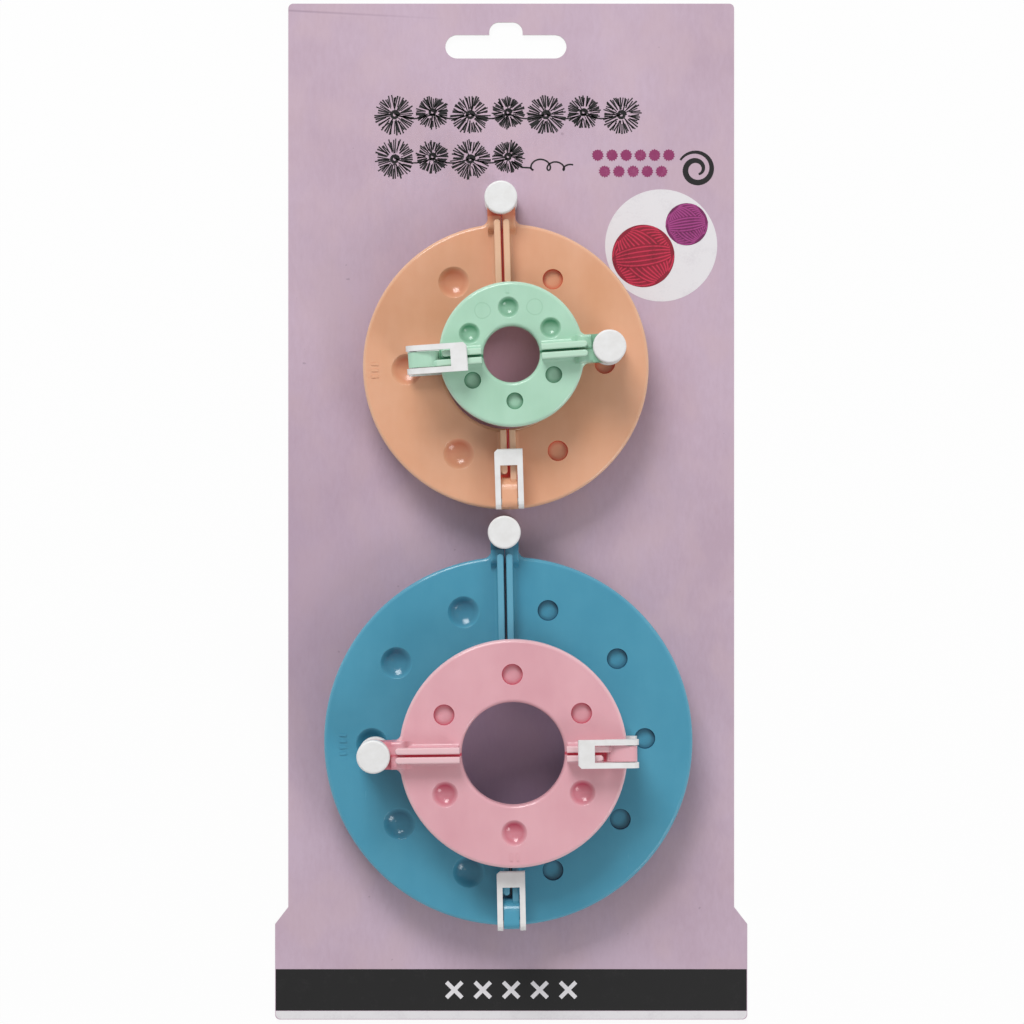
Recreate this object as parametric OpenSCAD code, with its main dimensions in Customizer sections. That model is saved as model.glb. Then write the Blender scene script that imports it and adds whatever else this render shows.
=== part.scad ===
// Pom-pom maker set: four ring makers in two crosswise stacks on a hang card.
// A maker is two equal halves, back to back. In each half, two half-ring arms swing on one
// capped post, and a flip-up clip on the longer arm's tongue bridges the slit between them.
// Millimetres. The card's back is z = 0, +Z leaves its printed face, +Y points at its hang slot.

/* [Card] */
// Width of the card above its foot
card_w = 109.7; // [104:0.1:130]
// Height of the card
card_h = 250; // [244:1:300]
// Thickness of the board
card_t = 1.0; // [0.6:0.1:2]
// How much wider the foot is than the card, both sides together
foot_extra = 6.5; // [2:0.1:12]
// Height of the foot up to its shoulders
foot_h = 23.5; // [15:0.5:30]
// Height of the sloping shoulders
shoulder_h = 4.2; // [2:0.1:12]
// Radius of the card's corners
card_corner_r = 1.2; // [0.5:0.1:4]

/* [Hang slot] */
// Length of the slot's bar
slot_w = 29.8; // [24:0.2:36]
// Height of the slot's bar
slot_h = 5.8; // [4.5:0.1:8]
// Width of the round-cornered notch over the bar
notch_w = 8.2; // [6:0.1:10]
// Height of the notch over the bar
notch_h = 3.1; // [2:0.1:5]
// Radius of the notch's upper corners
notch_r = 2.4; // [1:0.1:2.8]
// Distance from the card's top edge to the middle of the bar
slot_drop = 10.6; // [9:0.1:16]
// How far the slot lies left of the card's middle
slot_shift = 1.3; // [0:0.1:4]

/* [Large lower maker] */
// Outer diameter of the blue ring
blue_d = 89.7; // [84:0.1:94]
// Diameter of its hole
blue_hole_d = 46.6; // [40:0.2:50]
// Dimples on each arm
blue_dimples = 5; // [3:1:6]
// Diameter of the round bowls
blue_bowl_d = 7.9; // [5:0.1:8.2]
// Diameter of the flat-bottomed dishes
blue_dish_d = 5.1; // [3.5:0.1:6]
// How far the clip's free end stands out past the ring
blue_clip_out = 0.8; // [0:0.1:4]
// Distance of its size marks from the rim
blue_mark_in = 4.6; // [3:0.1:5]
// How far its middle lies left of the card's middle
blue_shift = 0.7; // [0:0.1:3]
// Distance from the card's lower edge to the ring
blue_margin = 24.3; // [20:0.1:34]
// Turn of its hinge away from upright
blue_turn = 1.1; // [-3:0.1:3]

/* [Large upper maker] */
// Outer diameter of the orange ring
orange_d = 69.6; // [66:0.1:76]
// Diameter of its hole
orange_hole_d = 30.2; // [28:0.2:32]
// Dimples on each arm
orange_dimples = 3; // [3:1:4]
// Diameter of the round bowls
orange_bowl_d = 7.8; // [5:0.1:8.2]
// Diameter of the flat-bottomed dishes
orange_dish_d = 5; // [3.5:0.1:6]
// How far the clip's free end stands in from the ring's edge
orange_clip_in = 0.1; // [0:0.1:1]
// Distance of its size marks from the rim
orange_mark_in = 2.9; // [2:0.1:4]
// How far its middle lies left of the card's middle
orange_shift = 1.3; // [0:0.1:3]
// Turn of its hinge away from upright
orange_turn = 1.7; // [-3:0.1:3]
// Free space between this ring and the blue maker's cap
stack_gap = 1.5; // [0.4:0.1:4]

/* [Small lower maker] */
// Outer diameter of the pink ring
pink_d = 55; // [52:1:57]
// Diameter of its hole
pink_hole_d = 24.8; // [20:0.2:26]
// Dimples on each arm
pink_dimples = 3; // [2:1:4]
// Diameter of the round bowls
pink_bowl_d = 6.5; // [4:0.1:7]
// Diameter of the flat-bottomed dishes
pink_dish_d = 5.1; // [3.5:0.1:6]
// How far the clip's free end stands out past the ring
pink_clip_out = 2.6; // [0:0.1:4]
// Distance of its size marks from the rim
pink_mark_in = 2.6; // [2:0.1:4]
// How far its middle lies right of the blue ring's
pink_right = 1.2; // [0:0.1:2]
// How far its middle lies below the blue ring's
pink_drop = 2.4; // [0:0.1:4]
// Turn of its hinge away from the left-hand side
pink_turn = 0.7; // [-3:0.1:3]

/* [Small upper maker] */
// Outer diameter of the mint ring
mint_d = 35; // [33:1:37]
// Diameter of its hole
mint_hole_d = 13.6; // [12:0.2:14]
// Dimples on each arm
mint_dimples = 3; // [2:1:3]
// Diameter of the round bowls
mint_bowl_d = 5.4; // [4:0.1:6]
// Diameter of the flat-bottomed dishes
mint_dish_d = 4.1; // [3:0.1:5]
// How far the clip's free end stands out past the ring
mint_clip_out = 7.7; // [7:0.1:9]
// Distance of its size marks from the rim
mint_mark_in = 1.9; // [1.6:0.1:2.4]
// How far its middle lies right of the orange ring's
mint_right = 1.4; // [0:0.1:2]
// How far its middle lies above the orange ring's
mint_rise = 2.6; // [0:0.1:4]
// Turn of its hinge away from the right-hand side
mint_turn = 4; // [0:0.1:5]

/* [Arms] */
// Thickness of the ring plates
plate_t = 2; // [1.6:0.1:2.5]
// Radius of the plates' front edges
edge_r = 0.9; // [0.4:0.1:1.2]
// Radius of the plates' back edges
back_edge_r = 0.3; // [0.1:0.1:0.4]
// Space between the two halves' plates
half_gap = 1.6; // [1.4:0.1:2]
// Space between the plates and necks of a half's two arms
plate_slit = 0.15; // [0.15:0.05:0.4]
// Width of the slit between the ribs of a half's two arms
slit = 0.6; // [0.5:0.1:1]
// Thickness of the ribs along the slit
rib_t = 1.6; // [1.2:0.1:1.8]
// Height of the ribs over the plate
rib_h = 5; // [4:0.1:5.2]
// How far the ribs run out past the ring at the hinge
rib_out = 0.8; // [0:0.1:1.2]
// Radius along the ribs' upper edges
rib_edge_r = 0.4; // [0.2:0.1:0.5]
// Radius of the fillet at the ribs' feet
fillet_r = 1; // [0.5:0.1:1.5]
// Depth of the round bowls
bowl_depth = 1.5; // [1:0.1:1.6]
// Radius of the soft lip round a bowl, which its diameter takes in
bowl_lip_r = 0.25; // [0.15:0.05:0.8]
// Depth of the flat-bottomed dishes
dish_depth = 1.5; // [0.6:0.1:1.7]
// Slope of a dish's wall, as the step in radius
dish_slope = 0.2; // [0.1:0.05:0.6]
// Height of the spacing domes behind the dimples
dome_h = 0.6; // [0.3:0.05:0.65]
// Distance by which the ring of dimples lies nearer the hole than the rim
dimple_in = 0.85; // [0:0.05:1]
// Height of the raised size marks
mark_h = 0.2; // [0.1:0.05:0.4]
// Width of one size mark
mark_w = 0.6; // [0.4:0.1:0.8]
// Length of one size mark
mark_l = 1.7; // [1:0.1:2]
// Distance from one size mark to the next
mark_pitch = 1.5; // [1.2:0.1:2]

/* [Hinge] */
// Distance of the hinge pin from the ring's edge
hinge_out = 6; // [5.8:0.1:7]
// Diameter of the cap
cap_d = 8; // [7.6:0.1:8.3]
// Height of the cap's face over the plate
cap_rise = 7; // [6.9:0.1:7.6]
// Radius of the cap's upper edge
cap_edge_r = 0.5; // [0.3:0.1:1.2]
// Chamfer of the cap's lower edge
cap_chamfer = 0.3; // [0.1:0.1:0.6]
// Diameter of the hinge pin
pin_d = 3.6; // [3.4:0.1:4]
// Radial running clearance of the arms on the pin
pin_clear = 0.06; // [0.02:0.01:0.1]
// Width of the necks and of the round hinge lugs
neck_w = 6.8; // [6:0.1:7]
// Height of the necks over the plates' backs
neck_h = 4.5; // [4:0.1:4.8]
// How far the necks' slopes reach in over the ring
neck_ramp = 3.6; // [1.6:0.1:4.5]
// Radius of the hollow corners where the necks flare into the ring
flare_r = 2; // [1:0.1:2.2]
// Radius of the necks' upper side edges
neck_edge_r = 0.8; // [0.3:0.1:1.0]
// Free height between stacked lugs, and between them and the cap
lug_gap = 0.1; // [0.05:0.05:0.2]
// Radial space between one arm's lug and the other arm's neck
lug_clear = 0.8; // [0.5:0.1:0.9]
// Diameter of the snap rim that keeps the lugs on the pin
rim_d = 5; // [4.6:0.1:5.4]
// Diameter of the spigot that joins the two posts
spigot_d = 2; // [1.6:0.1:2.2]
// Length of the spigot
spigot_l = 3; // [2:0.1:4]
// Radial clearance of the spigot in its socket
spigot_clear = 0.05; // [0.02:0.01:0.1]

/* [Clip] */
// Length of the clip
clip_l = 14.6; // [14:0.1:15]
// Width of the clip
clip_w = 6.85; // [6.6:0.05:8]
// Thickness of the clip's legs
leg_t = 1.35; // [1.2:0.05:1.6]
// Length of the bar across the clip's closed end
bar_l = 4; // [3:0.1:4.5]
// Height of the clip's face over the plate
clip_rise = 6.8; // [6.6:0.1:6.8]
// Space between the clip's bar and the ribs under it
clip_clear = 0.3; // [0.3:0.05:0.4]
// Depth of the legs beside the tongue
leg_h = 3.2; // [2.6:0.1:3.6]
// Radius of the legs' round ends
leg_end_r = 1.8; // [1.6:0.1:2]
// Diameter of the clip's pivot nubs
nub_d = 1.6; // [1.2:0.1:1.8]
// Radial running clearance of the nubs
nub_clear = 0.05; // [0.02:0.01:0.1]
// Length of each nub
nub_l = 1.1; // [0.8:0.1:1.3]
// Chamfer of the clip's corner over the plain arm
clip_corner = 0.8; // [0.5:0.1:1.4]
// Radius of the clip's upper edges at its closed end
clip_edge_r = 0.5; // [0.2:0.1:0.8]

/* [Tongue] */
// Space between the tongue's sides and the clip's legs
tongue_clear = 0.2; // [0.15:0.05:0.3]
// Length of the tongue, from the clip's free end to the corner of the slit
tongue_l = 7.8; // [7.2:0.1:8.2]
// Space between the tongue and the end of the plain arm's rib
corner_gap = 0.7; // [0.6:0.1:1.2]
// Radius of the tongue's round outer end
tongue_end_r = 1.4; // [1.3:0.1:1.5]
// Radius of the hump at the tongue's inner end
hump_r = 3.8; // [1.8:0.1:4]
// Height of the hump over the plate
hump_h = 5.9; // [5.2:0.1:6.1]
// Space between the tongue and the plain arm's plate under it
tongue_lift = 0.3; // [0.3:0.05:0.5]

/* [Hidden] */
$fn = 72;
LILAC = "#C4AEC3";
WHITE = "#ECECEC";
BLUE_PLASTIC = "#418BB0";
ORANGE_PLASTIC = "#DFA67E";
PINK_PLASTIC = "#DBA3AF";
MINT_PLASTIC = "#A8D2BA";

// Places in the lists that describe the makers
BLUE = 0;
ORANGE = 1;
PINK = 2;
MINT = 3;

ring_r = [blue_d, orange_d, pink_d, mint_d] / 2;
hole_r = [blue_hole_d, orange_hole_d, pink_hole_d, mint_hole_d] / 2;
dimples = [blue_dimples, orange_dimples, pink_dimples, mint_dimples];
bowl_d = [blue_bowl_d, orange_bowl_d, pink_bowl_d, mint_bowl_d];
dish_d = [blue_dish_d, orange_dish_d, pink_dish_d, mint_dish_d];
clip_out = [blue_clip_out, -orange_clip_in, pink_clip_out, mint_clip_out];
mark_in = [blue_mark_in, orange_mark_in, pink_mark_in, mint_mark_in];
marks = [4, 3, 2, 1];

// Heights of one half over the back of its plate
rib_top = plate_t + rib_h;
cap_top = plate_t + cap_rise;
clip_top = plate_t + clip_rise;
clip_under = rib_top + clip_clear;
pivot_z = clip_top - leg_end_r;
lug_h = (neck_h - lug_gap) / 2;
half_t = cap_top + half_gap / 2;

// Heights of the makers' middle planes: the large pair lies on the card, the small pair on their plates
large_z = card_t + half_t;
small_z = large_z + half_gap / 2 + plate_t + half_t;

blue_x = -blue_shift;
blue_y = blue_margin + ring_r[BLUE] - card_h / 2;
orange_x = -orange_shift;
orange_y = blue_y + ring_r[BLUE] + hinge_out + cap_d / 2 + stack_gap + ring_r[ORANGE];
place = [
    [blue_x, blue_y, large_z],
    [orange_x, orange_y, large_z],
    [blue_x + pink_right, blue_y - pink_drop, small_z],
    [orange_x + mint_right, orange_y + mint_rise, small_z],
];
turn = [blue_turn, orange_turn, 90 + pink_turn, mint_turn - 90];

// A little extra, so that cuts pass through and joined solids overlap
eps = 0.01;
past = 1;
// How far a hollow corner cuts into the faces that it leads between
flare_bite = 0.04;
// Angle by which a bowl's lip stops short of meeting the bowl smoothly
lip_crease = 5;

function arc(centre, r, from, to, steps = 8) =
    [for (k = [0:steps]) let (a = from + (to - from) * k / steps) centre + r * [cos(a), sin(a)]];

// Direction, seen from one circle's middle, of the tangent line that lies on top of both circles
function top_tangent(c1, r1, c2, r2) =
    let (d = c2 - c1, reach = norm(d)) 90 + atan2(d[1], d[0]) + asin((r2 - r1) / reach);

// ---- Card ----

module card_outline() {
    foot_w = card_w + foot_extra;
    offset_r = card_corner_r;
    left_low = [-foot_w / 2 + offset_r, -card_h / 2 + offset_r];
    left_high = [-card_w / 2 + offset_r, card_h / 2 - offset_r];
    foot_top = foot_h - card_h / 2;
    shoulder_top = foot_top + shoulder_h;
    polygon(concat(
        arc(left_low, offset_r, 270, 180),
        [[-foot_w / 2, foot_top], [-card_w / 2, shoulder_top]],
        arc(left_high, offset_r, 180, 90),
        arc([-left_high[0], left_high[1]], offset_r, 90, 0),
        [[card_w / 2, shoulder_top], [foot_w / 2, foot_top]],
        arc([-left_low[0], left_low[1]], offset_r, 0, -90)
    ));
}

// The long hole with round ends and a notch over its middle that a peg hook goes through
module hang_slot() {
    depth = card_t + 2 * past;
    for (side = [-1, 1])
        translate([side * (slot_w - slot_h) / 2, 0, 0])
            cylinder(d = slot_h, h = depth);
    translate([-(slot_w - slot_h) / 2, -slot_h / 2, 0])
        cube([slot_w - slot_h, slot_h, depth]);
    translate([-notch_w / 2, 0, 0])
        cube([notch_w, slot_h / 2 + notch_h - notch_r, depth]);
    translate([notch_r - notch_w / 2, 0, 0])
        cube([notch_w - 2 * notch_r, slot_h / 2 + notch_h, depth]);
    for (side = [-1, 1])
        translate([side * (notch_w / 2 - notch_r), slot_h / 2 + notch_h - notch_r, 0])
            cylinder(r = notch_r, h = depth);
}

module card() {
    color(LILAC)
        difference() {
            linear_extrude(card_t) card_outline();
            translate([-slot_shift, card_h / 2 - slot_drop, -past]) hang_slot();
        }
}

// ---- One half of a maker ----
// Its ring lies round the Z axis with the plate's back at z = 0 and its hinge on the +Y side.
// The tongue arm is its +X half and the plain arm its -X half.

module plate_profile(m) {
    outer = ring_r[m];
    hole = hole_r[m];
    polygon(concat(
        arc([outer - back_edge_r, back_edge_r], back_edge_r, -90, 0, 3),
        arc([outer - edge_r, plate_t - edge_r], edge_r, 0, 90),
        arc([hole + edge_r, plate_t - edge_r], edge_r, 90, 180),
        arc([hole + back_edge_r, back_edge_r], back_edge_r, 180, 270, 3)
    ));
}

// Puts its children at every dimple of the +X arm
module at_dimples(m) {
    step = 180 / dimples[m];
    row_r = (ring_r[m] + hole_r[m]) / 2 - dimple_in;
    for (k = [0:dimples[m] - 1])
        rotate([0, 0, -step * (k + 0.5)])
            translate([0, row_r, 0])
                children();
}

// A spherical cap that stands dome_h out of the plate's back
module dome(d) {
    base_r = d / 2 - dome_h;
    ball_r = (base_r * base_r + dome_h * dome_h) / (2 * dome_h);
    intersection() {
        translate([0, 0, ball_r - dome_h]) sphere(r = ball_r);
        translate([-d / 2, -d / 2, -dome_h]) cube([d, d, dome_h + plate_t / 2]);
    }
}

// A spherical bowl and the soft lip that leads into it
module bowl_cut(d) {
    ball_and_lip = (d * d / 4 + bowl_depth * bowl_depth) / (2 * bowl_depth);
    ball_r = ball_and_lip - bowl_lip_r;
    lip_turn = atan2(d / 2, ball_and_lip - bowl_depth);
    lip = arc([d / 2, plate_t - bowl_lip_r], bowl_lip_r, 90, 90 + lip_turn - lip_crease, 4);
    translate([0, 0, plate_t - bowl_depth + ball_r]) sphere(r = ball_r);
    rotate_extrude()
        polygon(concat([[0, plate_t + past], [d / 2, plate_t + past]], lip, [[0, lip[4][1]]]));
}

module dish_cut(d) {
    translate([0, 0, plate_t - dish_depth])
        cylinder(r1 = d / 2 - dish_slope, r2 = d / 2, h = dish_depth);
    translate([0, 0, plate_t - eps]) cylinder(d = d, h = past);
}

// A rib along the slit of the +X arm, from y = from to y = to, with its round end at the latter
module rib(from, to) {
    side = sign(to - from);
    flat_end = to - side * rib_t / 2;
    translate([slit / 2, max(from, flat_end), 0])
        rotate([90, 0, 0])
            linear_extrude(abs(flat_end - from))
                polygon(concat(
                    [[0, 0], [rib_t, 0]],
                    arc([rib_t - rib_edge_r, rib_top - rib_edge_r], rib_edge_r, 0, 90, 4),
                    arc([rib_edge_r, rib_top - rib_edge_r], rib_edge_r, 90, 180, 4)
                ));
    translate([slit / 2 + rib_t / 2, flat_end, 0])
        rotate_extrude()
            polygon(concat(
                [[0, 0], [rib_t / 2, 0]],
                arc([rib_t / 2 - rib_edge_r, rib_top - rib_edge_r], rib_edge_r, 0, 90, 4),
                [[0, rib_top]]
            ));
}

// The hollow fillet along a rib's outer foot, kept within the ring
module rib_fillet(m, from, to) {
    intersection() {
        translate([slit / 2 + rib_t - eps, max(from, to), plate_t - eps])
            rotate([90, 0, 0])
                linear_extrude(abs(to - from))
                    polygon(concat([[0, 0]], arc([fillet_r, fillet_r], fillet_r, 270, 180)));
        difference() {
            cylinder(r = ring_r[m] - edge_r, h = rib_top);
            translate([0, 0, -past]) cylinder(r = hole_r[m] + edge_r, h = rib_top + 2 * past);
        }
    }
}

// The neck that carries the +X arm's hinge lug, with the lug between heights low and high.
// It is a web with round upper edges that slopes down onto the plate.
module neck_and_lug(m, low, high) {
    hinge_y = ring_r[m] + hinge_out;
    lug_r = neck_w / 2;
    neck_end = hinge_y - lug_r - lug_clear;
    slope_foot = ring_r[m] - neck_ramp;
    half_w = neck_w / 2 - plate_slit / 2;
    intersection() {
        translate([plate_slit / 2, neck_end, 0])
            rotate([90, 0, 0])
                linear_extrude(neck_end - slope_foot)
                    polygon(concat(
                        [[0, 0], [half_w, 0]],
                        arc([half_w - neck_edge_r, neck_h - neck_edge_r], neck_edge_r, 0, 90, 5),
                        [[0, neck_h]]
                    ));
        rotate([90, 0, 90])
            linear_extrude(neck_w)
                neck_side(slope_foot, ring_r[m], neck_end + past);
    }
    translate([plate_slit / 2, neck_end - eps, low]) cube([half_w, hinge_y - neck_end + eps, high - low]);
    translate([0, hinge_y, low]) cylinder(r = lug_r, h = high - low);
    neck_flare(m);
}

// Side view of a neck: a slope with a hollow foot and a round shoulder, then level
module neck_side(foot, shoulder, end) {
    rise = neck_h - plate_t;
    run = shoulder - foot;
    bend_r = (run * run + rise * rise) / (4 * rise);
    sweep = 2 * atan2(rise, run);
    polygon(concat(
        [[foot, 0]],
        arc([foot, plate_t + bend_r], bend_r, 270, 270 + sweep, 5),
        arc([shoulder, neck_h - bend_r], bend_r, 90 + sweep, 90, 5),
        [[end, neck_h], [end, 0]]
    ));
}

// The plate's flare beside the neck, whose hollow corner runs from the neck's side to the rim
module neck_flare(m) {
    corner_x = neck_w / 2 + flare_r - flare_bite;
    reach = ring_r[m] + flare_r - flare_bite;
    corner = [corner_x, sqrt(reach * reach - corner_x * corner_x)];
    inner = corner * (ring_r[m] - edge_r - past) / reach;
    difference() {
        linear_extrude(plate_t)
            polygon([[neck_w / 2 - past, inner[1]], inner, corner, [neck_w / 2 - past, corner[1]]]);
        translate([corner[0], corner[1], 0])
            rotate_extrude()
                polygon(concat(
                    [[0, -past], [flare_r, -past]],
                    arc([flare_r + edge_r, plate_t - edge_r], edge_r, 180, 90, 6),
                    [[flare_r + edge_r, plate_t + past], [0, plate_t + past]]
                ));
    }
}

// Everything that the two arms share, as the +X arm: half ring, dimple domes, hinge rib, neck, lug
module arm_body(m, lug_low, lug_high) {
    difference() {
        union() {
            rotate([0, 0, -90]) rotate_extrude(angle = 180) plate_profile(m);
            rib(hole_r[m] + edge_r / 2, ring_r[m] + rib_out);
            rib_fillet(m, hole_r[m], ring_r[m]);
            neck_and_lug(m, lug_low, lug_high);
        }
        translate([-past, -ring_r[m] - past, -past])
            cube([past + plate_slit / 2, 2 * (ring_r[m] + past), plate_t + 2 * past]);
        translate([0, ring_r[m] + hinge_out, lug_low - past])
            cylinder(d = pin_d + 2 * pin_clear, h = lug_high - lug_low + 2 * past);
    }
}

// Distance of the clip's free end from the ring's middle
function clip_end(m) = ring_r[m] + clip_out[m];

// The arm with the round bowls, the lower lug and a plain rib end
module plain_arm(m) {
    rib_end = clip_end(m) - tongue_l - corner_gap;
    mirror([1, 0, 0]) {
        difference() {
            union() {
                arm_body(m, 0, lug_h);
                rib(-hole_r[m] - edge_r / 2, -rib_end);
                rib_fillet(m, -hole_r[m], -rib_end);
                at_dimples(m) dome(bowl_d[m]);
            }
            at_dimples(m) bowl_cut(bowl_d[m]);
        }
        size_marks(m);
    }
}

// Raised strokes near the rim, one more for each larger maker
module size_marks(m) {
    mark_r = ring_r[m] - mark_in[m];
    for (k = [0:marks[m] - 1])
        rotate([0, 0, (k - (marks[m] - 1) / 2) * mark_pitch / mark_r * 180 / PI])
            translate([mark_r - mark_l / 2, -mark_w / 2, plate_t - eps])
                cube([mark_l, mark_w, mark_h + eps]);
}

// Side view of the tongue, as distance in from the clip's free end and height
module tongue_profile(bottom) {
    end = [leg_end_r, pivot_z];
    hump = [tongue_l - hump_r, plate_t + hump_h - hump_r];
    lean = top_tangent(end, tongue_end_r, hump, hump_r);
    polygon(concat(
        [[tongue_l, bottom], [end[0] - tongue_end_r, bottom]],
        arc(end, tongue_end_r, 180, lean),
        arc(hump, hump_r, lean, 0)
    ));
}

// The tongue across the ends of both ribs, which carries the clip
module tongue(m) {
    half_w = clip_w / 2 - leg_t - tongue_clear;
    difference() {
        union() {
            translate([slit / 2, -clip_end(m), 0])
                rotate([90, 0, 90])
                    linear_extrude(half_w - slit / 2) tongue_profile(0);
            translate([-half_w, -clip_end(m), 0])
                rotate([90, 0, 90])
                    linear_extrude(half_w + slit / 2 + eps) tongue_profile(plate_t + tongue_lift);
        }
        translate([-half_w - past, leg_end_r - clip_end(m), pivot_z])
            rotate([0, 90, 0])
                cylinder(d = nub_d + 2 * nub_clear, h = 2 * (half_w + past));
    }
}

// The arm with the flat-bottomed dishes, the upper lug and the tongue
module tongue_arm(m) {
    slit_corner = clip_end(m) - tongue_l;
    difference() {
        union() {
            arm_body(m, lug_h + lug_gap, neck_h);
            rib(-hole_r[m] - edge_r / 2, -slit_corner - rib_t);
            rib_fillet(m, -hole_r[m], -slit_corner);
            at_dimples(m) dome(dish_d[m] + 2 * dish_slope);
        }
        at_dimples(m) dish_cut(dish_d[m]);
    }
    tongue(m);
}

// Side view of the clip, as distance in from its free end and height
module clip_profile() {
    pivot = [leg_end_r, pivot_z];
    leg_under = clip_top - leg_h;
    polygon(concat(
        arc(pivot, leg_end_r, 90, 270),
        [[pivot[0] + leg_end_r, leg_under], [tongue_l, leg_under], [tongue_l + corner_gap, clip_under]],
        [[clip_l - clip_edge_r, clip_under]],
        arc([clip_l - clip_edge_r, clip_top - clip_edge_r], clip_edge_r, 0, 90, 5)
    ));
}

// The flip-up clip: two legs pivoted on the tongue's sides, joined by a bar over both ribs
module clip(m) {
    inner_w = clip_w - 2 * leg_t;
    translate([0, -clip_end(m), 0]) {
        difference() {
            translate([-clip_w / 2, 0, 0])
                rotate([90, 0, 90])
                    linear_extrude(clip_w) clip_profile();
            translate([-inner_w / 2, -past, -past])
                cube([inner_w, clip_l - bar_l + past, clip_top + 2 * past]);
            translate([-clip_w / 2, clip_l, 0])
                rotate([0, 0, 45])
                    cube([clip_corner * sqrt(2), clip_corner * sqrt(2), 2 * clip_top + past], center = true);
        }
        for (side = [-1, 1])
            translate([side * (inner_w / 2 + eps), leg_end_r, pivot_z])
                rotate([0, -90 * side, 0])
                    cylinder(d = nub_d, h = nub_l + eps);
    }
}

// Cap, hinge pin and snap rim, round the Z axis, down to the middle plane of the maker
module post_body() {
    cap_under = neck_h + lug_gap;
    cap_r = cap_d / 2;
    pin_r = pin_d / 2;
    rim_r = rim_d / 2;
    meet = -half_gap / 2;
    rotate_extrude()
        polygon(concat(
            [[0, meet], [pin_r, meet], [rim_r, meet + lug_gap + (rim_r - pin_r) / 2]],
            [[rim_r, -lug_gap], [pin_r, -lug_gap], [pin_r, cap_under]],
            [[cap_r - cap_chamfer, cap_under], [cap_r, cap_under + cap_chamfer]],
            arc([cap_r - cap_edge_r, cap_top - cap_edge_r], cap_edge_r, 0, 90),
            [[0, cap_top]]
        ));
}

module spigot_post(m) {
    translate([0, ring_r[m] + hinge_out, 0]) {
        post_body();
        translate([0, 0, -half_gap / 2 - spigot_l]) cylinder(d = spigot_d, h = spigot_l + past);
    }
}

module socket_post(m) {
    depth = spigot_l + lug_gap;
    translate([0, ring_r[m] + hinge_out, 0])
        difference() {
            post_body();
            translate([0, 0, -half_gap / 2 - past])
                cylinder(d = spigot_d + 2 * spigot_clear, h = depth + past);
        }
}

// ---- Placing the halves: the rear one is the front one turned over about the hinge's side ----

module on_front(m) {
    translate(place[m]) rotate([0, 0, turn[m]]) translate([0, 0, half_gap / 2]) children();
}

module on_rear(m) {
    translate(place[m])
        rotate([0, 0, turn[m]]) rotate([0, 180, 0]) translate([0, 0, half_gap / 2]) children();
}

module blue_rear_post() { color(WHITE) on_rear(BLUE) socket_post(BLUE); }
module blue_rear_plain_arm() { color(BLUE_PLASTIC) on_rear(BLUE) plain_arm(BLUE); }
module blue_rear_tongue_arm() { color(BLUE_PLASTIC) on_rear(BLUE) tongue_arm(BLUE); }
module blue_rear_clip() { color(WHITE) on_rear(BLUE) clip(BLUE); }
module blue_front_post() { color(WHITE) on_front(BLUE) spigot_post(BLUE); }
module blue_front_plain_arm() { color(BLUE_PLASTIC) on_front(BLUE) plain_arm(BLUE); }
module blue_front_tongue_arm() { color(BLUE_PLASTIC) on_front(BLUE) tongue_arm(BLUE); }
module blue_front_clip() { color(WHITE) on_front(BLUE) clip(BLUE); }

module orange_rear_post() { color(WHITE) on_rear(ORANGE) socket_post(ORANGE); }
module orange_rear_plain_arm() { color(ORANGE_PLASTIC) on_rear(ORANGE) plain_arm(ORANGE); }
module orange_rear_tongue_arm() { color(ORANGE_PLASTIC) on_rear(ORANGE) tongue_arm(ORANGE); }
module orange_rear_clip() { color(WHITE) on_rear(ORANGE) clip(ORANGE); }
module orange_front_post() { color(WHITE) on_front(ORANGE) spigot_post(ORANGE); }
module orange_front_plain_arm() { color(ORANGE_PLASTIC) on_front(ORANGE) plain_arm(ORANGE); }
module orange_front_tongue_arm() { color(ORANGE_PLASTIC) on_front(ORANGE) tongue_arm(ORANGE); }
module orange_front_clip() { color(WHITE) on_front(ORANGE) clip(ORANGE); }

module pink_rear_post() { color(WHITE) on_rear(PINK) socket_post(PINK); }
module pink_rear_plain_arm() { color(PINK_PLASTIC) on_rear(PINK) plain_arm(PINK); }
module pink_rear_tongue_arm() { color(PINK_PLASTIC) on_rear(PINK) tongue_arm(PINK); }
module pink_rear_clip() { color(WHITE) on_rear(PINK) clip(PINK); }
module pink_front_post() { color(WHITE) on_front(PINK) spigot_post(PINK); }
module pink_front_plain_arm() { color(PINK_PLASTIC) on_front(PINK) plain_arm(PINK); }
module pink_front_tongue_arm() { color(PINK_PLASTIC) on_front(PINK) tongue_arm(PINK); }
module pink_front_clip() { color(WHITE) on_front(PINK) clip(PINK); }

module mint_rear_post() { color(WHITE) on_rear(MINT) socket_post(MINT); }
module mint_rear_plain_arm() { color(MINT_PLASTIC) on_rear(MINT) plain_arm(MINT); }
module mint_rear_tongue_arm() { color(MINT_PLASTIC) on_rear(MINT) tongue_arm(MINT); }
module mint_rear_clip() { color(WHITE) on_rear(MINT) clip(MINT); }
module mint_front_post() { color(WHITE) on_front(MINT) spigot_post(MINT); }
module mint_front_plain_arm() { color(MINT_PLASTIC) on_front(MINT) plain_arm(MINT); }
module mint_front_tongue_arm() { color(MINT_PLASTIC) on_front(MINT) tongue_arm(MINT); }
module mint_front_clip() { color(WHITE) on_front(MINT) clip(MINT); }

card();

blue_rear_post();
blue_rear_plain_arm();
blue_rear_tongue_arm();
blue_rear_clip();
blue_front_post();
blue_front_plain_arm();
blue_front_tongue_arm();
blue_front_clip();

orange_rear_post();
orange_rear_plain_arm();
orange_rear_tongue_arm();
orange_rear_clip();
orange_front_post();
orange_front_plain_arm();
orange_front_tongue_arm();
orange_front_clip();

pink_rear_post();
pink_rear_plain_arm();
pink_rear_tongue_arm();
pink_rear_clip();
pink_front_post();
pink_front_plain_arm();
pink_front_tongue_arm();
pink_front_clip();

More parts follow.
